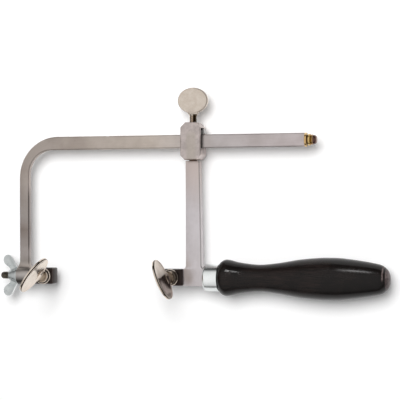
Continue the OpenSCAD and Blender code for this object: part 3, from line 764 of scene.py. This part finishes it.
# Each spade: its width, height, thickness and the place of its lower edge, in mm
CLAMP_SPADE = (25.6, 21, 1.8, 4.8)
TOP_SPADE = (19.4, 15.98, 1.8, 5.72)
SPADE_STEPS = 96
NECK_STEPS = 48
THREAD_PITCH = 0.8
FORGED_SMOOTH_BELOW = math.radians(35)


def select_faces(piece, wanted):
    """In edit mode, selects the faces whose centre and normal pass the test, and no others."""
    bpy.ops.mesh.select_all(action="DESELECT")
    mesh = bmesh.from_edit_mesh(piece.data)
    for face in mesh.faces:
        face.select = bool(wanted(face.calc_center_median() / MM, face.normal))
    mesh.select_flush_mode()
    bmesh.update_edit_mesh(piece.data)


def oval_plate(name, width, height, thick, base):
    """An oval plate in the XZ plane, its lower edge at base, with rounded rims and dished faces."""
    bpy.ops.mesh.primitive_cylinder_add(
        vertices=SPADE_STEPS, radius=1, depth=1, end_fill_type="NGON", rotation=(math.pi / 2, 0, 0)
    )
    plate = bpy.context.object
    plate.name = name
    plate.scale = (width / 2 * MM, height / 2 * MM, thick * MM)
    plate.location = (0, 0, (base + height / 2) * MM)
    bpy.ops.object.transform_apply(location=True, rotation=True, scale=True)
    bpy.ops.object.mode_set(mode="EDIT")
    bpy.ops.mesh.select_mode(type="FACE")
    select_faces(plate, lambda centre, normal: abs(normal.y) > 0.9)
    bpy.ops.mesh.inset(thickness=0.75 * MM, depth=0)
    for step, sink in ((0.25, -0.09), (0.9, -0.05), (1.8, -0.07), (2.2, -0.03)):
        bpy.ops.mesh.inset(thickness=step * MM, depth=sink * MM)
    bpy.ops.mesh.poke()
    # The rim's corners are rounded over
    bpy.ops.mesh.select_mode(type="EDGE")
    bpy.ops.mesh.select_all(action="DESELECT")
    mesh = bmesh.from_edit_mesh(plate.data)
    for edge in mesh.edges:
        on_corner = all(abs(abs(v.co.y) - thick / 2 * MM) < 0.001 * MM for v in edge.verts)
        ring = {round(abs(f.normal.y)) for f in edge.link_faces}
        edge.select = on_corner and ring == {0, 1}
    bmesh.update_edit_mesh(plate.data)
    bpy.ops.mesh.bevel(offset=0.38 * MM, segments=4, affect="EDGES")
    bpy.ops.object.mode_set(mode="OBJECT")
    return plate


def drawn_neck(name, sections):
    """A closed form along Z through elliptic sections: (place, half width, half thickness)."""
    place, wide, thick = sections[0]
    bpy.ops.mesh.primitive_cylinder_add(
        vertices=NECK_STEPS, radius=1, depth=1, end_fill_type="NGON", location=(0, 0, 0)
    )
    neck = bpy.context.object
    neck.name = name
    second = sections[1]
    neck.scale = (wide * MM, thick * MM, (second[0] - place) * MM)
    neck.location = (0, 0, (second[0] + place) / 2 * MM)
    bpy.ops.object.transform_apply(location=True, rotation=True, scale=True)
    bpy.ops.object.mode_set(mode="EDIT")
    bpy.ops.mesh.select_mode(type="FACE")
    for section in sections[1:]:
        if section is not second:
            step = (0, 0, (section[0] - place) * MM)
            bpy.ops.mesh.extrude_region_move(TRANSFORM_OT_translate={"value": step})
        else:
            select_faces(neck, lambda centre, normal: normal.z > 0.9)
        stretch = (section[1] / wide, section[2] / thick, 1)
        bpy.ops.transform.resize(value=stretch, center_override=(0, 0, section[0] * MM))
        place, wide, thick = section
    bpy.ops.object.mode_set(mode="OBJECT")
    return neck


def joined(piece, *others):
    """Makes one closed piece of several that overlap."""
    for other in others:
        union = piece.modifiers.new("union", "BOOLEAN")
        union.operation = "UNION"
        union.solver = "EXACT"
        union.object = other
        bpy.context.view_layer.objects.active = piece
        bpy.ops.object.modifier_apply(modifier=union.name)
        bpy.data.objects.remove(other)
    return piece


def cut_thread(piece, start, end, major, depth):
    """Moves the rings of a rod along Z, from start to end, into a thread."""
    for vertex in piece.data.vertices:
        x, y, z = vertex.co / MM
        radius = math.hypot(x, y)
        if start < z < end and radius > major * 0.9:
            turn = (z / THREAD_PITCH - math.atan2(y, x) / (2 * math.pi)) % 1.0
            fade = min(1, (z - start) / THREAD_PITCH, (end - z) / THREAD_PITCH)
            sunk = depth * abs(2 * turn - 1) * fade
            vertex.co.x *= (radius - sunk) / radius
            vertex.co.y *= (radius - sunk) / radius


def set_down(piece, place, turn):
    """Turns a finished piece about the origin, moves it to its place and smooths its shading."""
    pick(piece)
    piece.rotation_euler = turn
    piece.location = Vector(place) * MM
    bpy.ops.object.transform_apply(location=True, rotation=True, scale=True)
    bpy.ops.object.shade_smooth_by_angle(angle=FORGED_SMOOTH_BELOW)


NECK_GRIME_AND_REFLECTION = tone(112, 92, 66)
JAW_REFLECTION_TONE = tone(72, 60, 48)
THREAD_DARK = tone(70, 56, 34)
# The soft steps of the marks on a clamp screw. On its spade they are shares of the half width and
# half height, and at its neck and collar they are mm from the screw's axis and above its foot.
# The painted dark reflection along one corner of the spade's rim
RIM_SHADE_HALF = 0.32
RIM_SHADE_SOFT = 0.12
RIM_SHADE_SHARE = (0.955, 0.97)
# The painted reflection of the black jaw over one half of the rear spade
JAW_REFLECTION_START = -0.2
JAW_REFLECTION_END = 0.4
JAW_REFLECTION_PATCHY = 0.2
JAW_REFLECTION_SHARE = (0.94, 0.9)
JAW_REFLECTION_X = (0.88, 0.8)
# Dirt at the neck, with a painted reflection of the jaw in its brown
NECK_MARK_RADIUS = (5.2, 3.2)
NECK_MARK_UP = (7.5, 4.0, 0.0, 0.75)
NECK_MARK_FOOT = (1.2, 1.7)
GRIME_GLOSS = 0.3
# Painted shade at the collar's foot, and with the half plane also on its +X side
FOOT_INNER = (3.8, 3.92)
FOOT_UP = (1.15, 0.95)
FOOT_OUTER = (4.4, 4.2, 0.0, 0.9)
BLACK_X = (1.2, 2.2)
BLACK_UP = (1.9, 1.6, 0.0, 0.85)
# The same on the top screw: the painted dark reflection in its rim, and the darker thread
LINE_INNER = (0.915, 0.935)
LINE_OUTER = (0.97, 0.955)
LINE_X = (-0.1, 0.5, 0.0, 0.8)
THREAD_DARK_X = (0.2, 0.8)
THREAD_LINE_LEFT = (-1.65, -1.35)
THREAD_LINE_RIGHT = (-0.75, -1.0)
THREAD_LINE_SHARE = 0.8
THREAD_DARK_UP = (5.4, 4.7)


def own_place(tree, place, centre, turn, scale):
    """Object coordinates brought to a piece's own middle and turn, and divided by a scale."""
    own = node(tree, "ShaderNodeMapping", vector_type="TEXTURE", Vector=place,
               Location=Vector(centre) * MM, Rotation=turn, Scale=scale)
    return own.outputs[0]


def spade_place(tree, place, centre, turn, spade):
    """Coordinates on a spade: X and Z run from -1 to 1 over its width and height."""
    return own_place(tree, place, centre, turn, (spade[0] / 2 * MM, MM, spade[1] / 2 * MM))


def clamp_screw_marks(screw_x, centre, turn, rim_shade_y, jaw_reflection):
    """A clamp screw's painted dark reflection along one corner of the spade's rim, dirt and a
    painted reflection at its neck, painted shade at its collar's foot, and, given a half plane (x,
    z, offset, strength), a painted reflection of the black jaw over that half."""
    def marks(tree, place, colour, gloss):
        own = spade_place(tree, place, centre, turn, CLAMP_SPADE)
        parts = parts_of(tree, own)
        share = far_out(tree, own, (1, 0, 1))
        if jaw_reflection:
            # Painted reflection: the black jaw's dark reflection, in patches over one half of the
            # spade
            x, z, offset, strength = jaw_reflection
            speck = texture(tree, clouds_group, place, Scale=SPECK_SCALE, Detail=3.0)
            over = reckon(tree, "ADD", reckon(tree, "MULTIPLY", parts["X"], x),
                          reckon(tree, "MULTIPLY", parts["Z"], z))
            half = soft_step(tree, over, offset + JAW_REFLECTION_START, offset + JAW_REFLECTION_END)
            inside = all_of(tree, soft_step(tree, share, *JAW_REFLECTION_SHARE),
                            soft_step(tree, parts["X"], *JAW_REFLECTION_X))
            patchy = soft_step(tree, speck, 0.0, 1.0, strength, strength + JAW_REFLECTION_PATCHY)
            colour = painted(tree, all_of(tree, half, inside, patchy), colour, JAW_REFLECTION_TONE)
        # Painted reflection: a dark line along one corner of the spade's rim
        from_rim_shade = away_from(tree, parts["Y"], rim_shade_y)
        line = all_of(tree, soft_step(tree, from_rim_shade, RIM_SHADE_HALF + RIM_SHADE_SOFT, RIM_SHADE_HALF),
                      soft_step(tree, share, *RIM_SHADE_SHARE))
        colour = painted(tree, line, colour, TARNISH_AND_SHADE)
        # The neck's brown: dirt, with a painted reflection of the jaw in it
        upright = own_place(tree, place, (screw_x, 0, COLLAR_LOW), (0, 0, 0), (MM, MM, MM))
        radius = far_out(tree, upright, (1, 1, 0))
        parts = parts_of(tree, upright)
        neck_mark = all_of(tree, soft_step(tree, radius, *NECK_MARK_RADIUS),
                       soft_step(tree, parts["Z"], *NECK_MARK_UP),
                       soft_step(tree, parts["Z"], *NECK_MARK_FOOT))
        colour = painted(tree, neck_mark, colour, NECK_GRIME_AND_REFLECTION)
        gloss = reckon(tree, "ADD", gloss, reckon(tree, "MULTIPLY", neck_mark, GRIME_GLOSS))
        # Painted shade: a dark ring at the collar's foot, where it meets the washer
        foot = all_of(tree, soft_step(tree, radius, *FOOT_INNER),
                      soft_step(tree, parts["Z"], *FOOT_UP), soft_step(tree, radius, *FOOT_OUTER))
        if jaw_reflection:
            # Painted shade on the collar's +X side
            right = all_of(tree, soft_step(tree, parts["X"], *BLACK_X),
                           soft_step(tree, parts["Z"], *BLACK_UP))
            foot = reckon(tree, "MAXIMUM", foot, right)
        return painted(tree, foot, colour, TARNISH_AND_SHADE), gloss
    return marks


def top_screw_marks(tree, place, colour, gloss):
    """The top spade's painted dark reflection inside its rim, on one side, and a darker thread on
    its
    +X half and in a line on its -X side.
    """
    own = spade_place(tree, place, TOP_MIDDLE, (-math.pi / 2, 0, 0), TOP_SPADE)
    share = far_out(tree, own, (1, 0, 1))
    # Painted reflection: a dark line inside the rim, on the side towards +X
    line = all_of(tree, soft_step(tree, share, *LINE_INNER), soft_step(tree, share, *LINE_OUTER),
                  soft_step(tree, parts_of(tree, own)["X"], *LINE_X))
    colour = painted(tree, line, colour, TARNISH_AND_SHADE)
    # The thread is darker on its +X half and in a line on its -X side
    stem = parts_of(tree, own_place(tree, place, TOP_SCREW_PLACE, (0, 0, 0), (MM, MM, MM)))
    left = all_of(tree, soft_step(tree, stem["X"], *THREAD_LINE_LEFT),
                  soft_step(tree, stem["X"], *THREAD_LINE_RIGHT), THREAD_LINE_SHARE)
    dark_thread = reckon(tree, "MAXIMUM", soft_step(tree, stem["X"], *THREAD_DARK_X), left)
    dark_thread = all_of(tree, dark_thread, soft_step(tree, stem["Y"], *THREAD_DARK_UP))
    return painted(tree, dark_thread, colour, THREAD_DARK), gloss


CLAMP_NECK = (
    (1.2, 3.2, 3.2), (1.6, 2.95, 2.85), (2.2, 2.75, 2.4), (3.0, 2.8, 2.0), (3.9, 3.2, 1.7),
    (4.8, 3.9, 1.45), (5.8, 4.9, 1.25), (6.8, 5.9, 1.08), (7.8, 6.6, 0.95), (8.8, 7.0, 0.82),
)
LEAN_PIVOT = 1.5
# Each clamp screw: its name and place in X, how far it is turned and how far its spade leans, in
# degrees, where the painted dark line on its rim lies, the painted reflection of the jaw on it and
# its body. The front one's spade is bent over.
for screw_name, place, turn, lean, rim_shade_y, jaw_reflection, body in (
    ("rear_clamp_screw", REAR_SCREW_X, -68, (1.2, 1.4), 0.42, (0.923, -0.384, -0.245, 0.32),
     "rear_screw"),
    ("front_clamp_screw", FRONT_SCREW_X, 53.5, (-1.5, 5.9), -0.42, None, "front_screw"),
):
    shank = turned(
        screw_name + "_forged",
        [(-9.65, 0), (-9.65, 1.8), (-9.1, 2.35), (0, 2.35), (0, 3.75),
         *arc(0.25, 3.75, 0.25, 180, 90, 4), *arc(1.15, 3.65, 0.35, 90, 0, 4), (1.5, 3.3),
         (1.6, 0)],
        (0, 0, 0), along="Z",
    )
    neck = drawn_neck("neck", CLAMP_NECK)
    plate = oval_plate("spade", *CLAMP_SPADE)
    bend = Euler([math.radians(a) for a in (*lean, 0)])
    pivot = Vector((0, 0, LEAN_PIVOT))
    for part in (neck, plate):
        set_down(part, pivot - bend.to_matrix() @ pivot, bend)
    screw = joined(shank, neck, plate)
    stand = Euler((0, 0, math.radians(turn)))
    seat = Vector((place, 0, COLLAR_LOW))
    set_down(screw, seat, stand)
    middle = Vector((0, 0, CLAMP_SPADE[3] + CLAMP_SPADE[1] / 2)) - pivot
    middle = stand.to_matrix() @ (pivot + bend.to_matrix() @ middle) + seat
    whole_turn = (stand.to_matrix() @ bend.to_matrix()).to_euler()
    nickel = metal(screw_name + "_nickel", NICKEL_LIGHT, NICKEL_DARK, roughness=0.12, spread=0.035,
                   stretch=(500, 500, 500), cloud_scale=160, bump=0.1,
                   marks=clamp_screw_marks(place, middle, whole_turn, rim_shade_y, jaw_reflection))
    put_on(screw, nickel, body, screw_name)

TOP_NECK = (
    (4.0, 2.3, 2.3), (4.6, 2.45, 2.0), (5.3, 3.0, 1.7), (6.2, 3.8, 1.4), (7.1, 4.6, 1.15),
    (8.0, 5.2, 0.95), (8.8, 5.5, 0.82),
)
shank_steps = [(-7.4 + 0.1 * i, 2.4) for i in range(126)]
shank = turned(
    "slider_screw_forged",
    [(-9.4, 0), (-9.4, 1.5), (-8.5, 1.56), (-8.0, 2.2), *shank_steps, (5.4, 2.2), (5.6, 0)],
    (0, 0, 0), along="Z", steps=48,
)
cut_thread(shank, start=-7.3, end=4.9, major=2.4, depth=0.42)
neck = drawn_neck("neck", TOP_NECK)
plate = oval_plate("spade", *TOP_SPADE)
screw = joined(shank, neck, plate)
TOP_SCREW_PLACE = Vector((-16.7, 95.8, 0))
TOP_MIDDLE = TOP_SCREW_PLACE + Vector((0, TOP_SPADE[3] + TOP_SPADE[1] / 2, 0))
set_down(screw, TOP_SCREW_PLACE, (-math.pi / 2, 0, 0))
top_nickel = metal("slider_screw_nickel", tone(216, 205, 193), tone(202, 189, 176), roughness=0.2,
                   spread=0.05, stretch=(900, 900, 900), cloud_scale=250, bump=0.15,
                   marks=top_screw_marks)
put_on(screw, top_nickel, "slider_screw", "slider_screw")


# Tension screw
# A turned steel stud, blacked, with a rolled thread and a square shank, slides in the boss and
# pulls the front jaw. The zinc plated nut on it has a turned hub, and two wings pressed from sheet.
NUT_SEAT = -133.55
STUD_TIP = -145.85
HUB_BORE = 2.4
# The square shank, and the tenon between it and the front jaw: where they lie, and their sizes
SQUARE_MIDDLE_X = -125.44
SQUARE_SIZE = Vector((6.08, 6, 6))
TENON_FROM_X = -125.4
TENON_LENGTH = 7.0
TENON_RADIUS = 2.28
WING_THICKNESS = 1.6
# The painted highlight on the wings' edges: its tone, and the soft steps of its reach through the
# thickness and out from the axis
EDGE_HIGHLIGHT = tone(255, 255, 255)
EDGE_HIGHLIGHT_HALF = (0.62 * MM, 0.55 * MM)
EDGE_HIGHLIGHT_FROM_Y = (4.5 * MM, 5.5 * MM)
# One wing's outline from the hub's wall to its lobe and back, in mm from the seat and the axis
WING_OUTLINE = (
    (-0.4, 2.7), (-0.4, 4.9), (-1.4, 5.6), (-3.3, 9.4), (-4.3, 11.4), (-5.2, 12.5), (-6.4, 13.1),
    (-7.7, 13.15), (-8.9, 12.7), (-9.8, 11.7), (-10.25, 10.4), (-10.2, 9.0), (-9.6, 7.6),
    (-8.5, 6.5), (-7.1, 5.6), (-6.0, 4.6), (-5.4, 3.4), (-5.3, 2.7),
)

stud = turned(
    "tension_stud_rod",
    [*arc(2.3, 0, 2.3, 180, 90, 8), *[(2.4 + 0.1 * i, 2.3) for i in range(150)], (17.6, 2.0),
     (17.6, 0)],
    (0, 0, 0), along="Z", steps=48,
)
cut_thread(stud, start=1.6, end=17.2, major=2.3, depth=0.34)
set_down(stud, (STUD_TIP, 0, 0), (0, math.pi / 2, 0))
bpy.ops.mesh.primitive_cube_add(size=1, location=(SQUARE_MIDDLE_X * MM, 0, 0))
shank = bpy.context.object
shank.scale = SQUARE_SIZE * MM
bpy.ops.object.transform_apply(location=True, rotation=True, scale=True)
bpy.ops.object.mode_set(mode="EDIT")
bpy.ops.mesh.select_mode(type="EDGE")
bpy.ops.mesh.select_all(action="SELECT")
bpy.ops.mesh.bevel(offset=0.3 * MM, segments=2, affect="EDGES")
bpy.ops.object.mode_set(mode="OBJECT")
tenon = turned(
    "tenon", [(0, 0), (0, TENON_RADIUS), (TENON_LENGTH, TENON_RADIUS), (TENON_LENGTH, 0)],
    (TENON_FROM_X, 0, 0),
)
stud = joined(stud, shank, tenon)
set_down(stud, (0, 0, 0), (0, 0, 0))
stud_black = metal("worn_black_thread", tone(124, 118, 108), tone(72, 68, 61), roughness=0.36,
                   spread=0.08, stretch=(800, 800, 800), cloud_scale=500, bump=0.4)
put_on(stud, stud_black, "front_jaw", "tension_stud")


def pressed_wing(name, outline):
    """A flat plate with the wing's outline, its faces pressed in inside a rim."""
    wing = drawn_line(name, [(x, y, -WING_THICKNESS / 2) for x, y in outline])
    bpy.ops.mesh.edge_face_add()
    bpy.ops.mesh.extrude_region_move(TRANSFORM_OT_translate={"value": (0, 0, WING_THICKNESS * MM)})
    bpy.ops.mesh.select_all(action="SELECT")
    bpy.ops.mesh.normals_make_consistent(inside=False)
    bpy.ops.mesh.select_mode(type="FACE")
    select_faces(wing, lambda centre, normal: abs(normal.z) > 0.9)
    for step, sink in ((0.2, 0), (0.75, 0), (0.25, -0.16)):
        bpy.ops.mesh.inset(thickness=step * MM, depth=sink * MM)
    bpy.ops.object.mode_set(mode="OBJECT")
    set_down(wing, (NUT_SEAT, 0, 0), (0, 0, 0))
    return wing


nut = turned(
    "wing_nut_pressed",
    [(0, HUB_BORE), (0, 4.95), *arc(-0.3, 4.9, 0.3, 0, 90, 4), (-1.2, 5.05), (-5.8, 3.35),
     *arc(-5.95, 2.95, 0.35, 90, 180, 4), (-6.3, HUB_BORE), (0, HUB_BORE)],
    (NUT_SEAT, 0, 0),
)
upper_wing = pressed_wing("upper_wing", WING_OUTLINE)
lower_wing = pressed_wing("lower_wing", [(x, -y) for x, y in reversed(WING_OUTLINE)])
# The wings' roots end inside the hub's wall, each a closed plate of its own
pick(upper_wing, lower_wing, nut)
bpy.ops.object.join()


def wing_marks(tree, place, colour, gloss):
    """A painted highlight: the wings' edges are painted white, for the bright reflection that they
    catch.
    """
    parts = parts_of(tree, place)
    middle = soft_step(tree, reckon(tree, "ABSOLUTE", parts["Z"]), *EDGE_HIGHLIGHT_HALF)
    out = soft_step(tree, reckon(tree, "ABSOLUTE", parts["Y"]), *EDGE_HIGHLIGHT_FROM_Y)
    return painted(tree, all_of(tree, middle, out), colour, EDGE_HIGHLIGHT), gloss


zinc = metal("dull_zinc", tone(206, 209, 208), tone(178, 183, 183), roughness=0.3, spread=0.06,
             stretch=(500, 500, 500), cloud_scale=260, bump=0.3, marks=wing_marks)
put_on(nut, zinc, "wing_nut", "wing_nut")
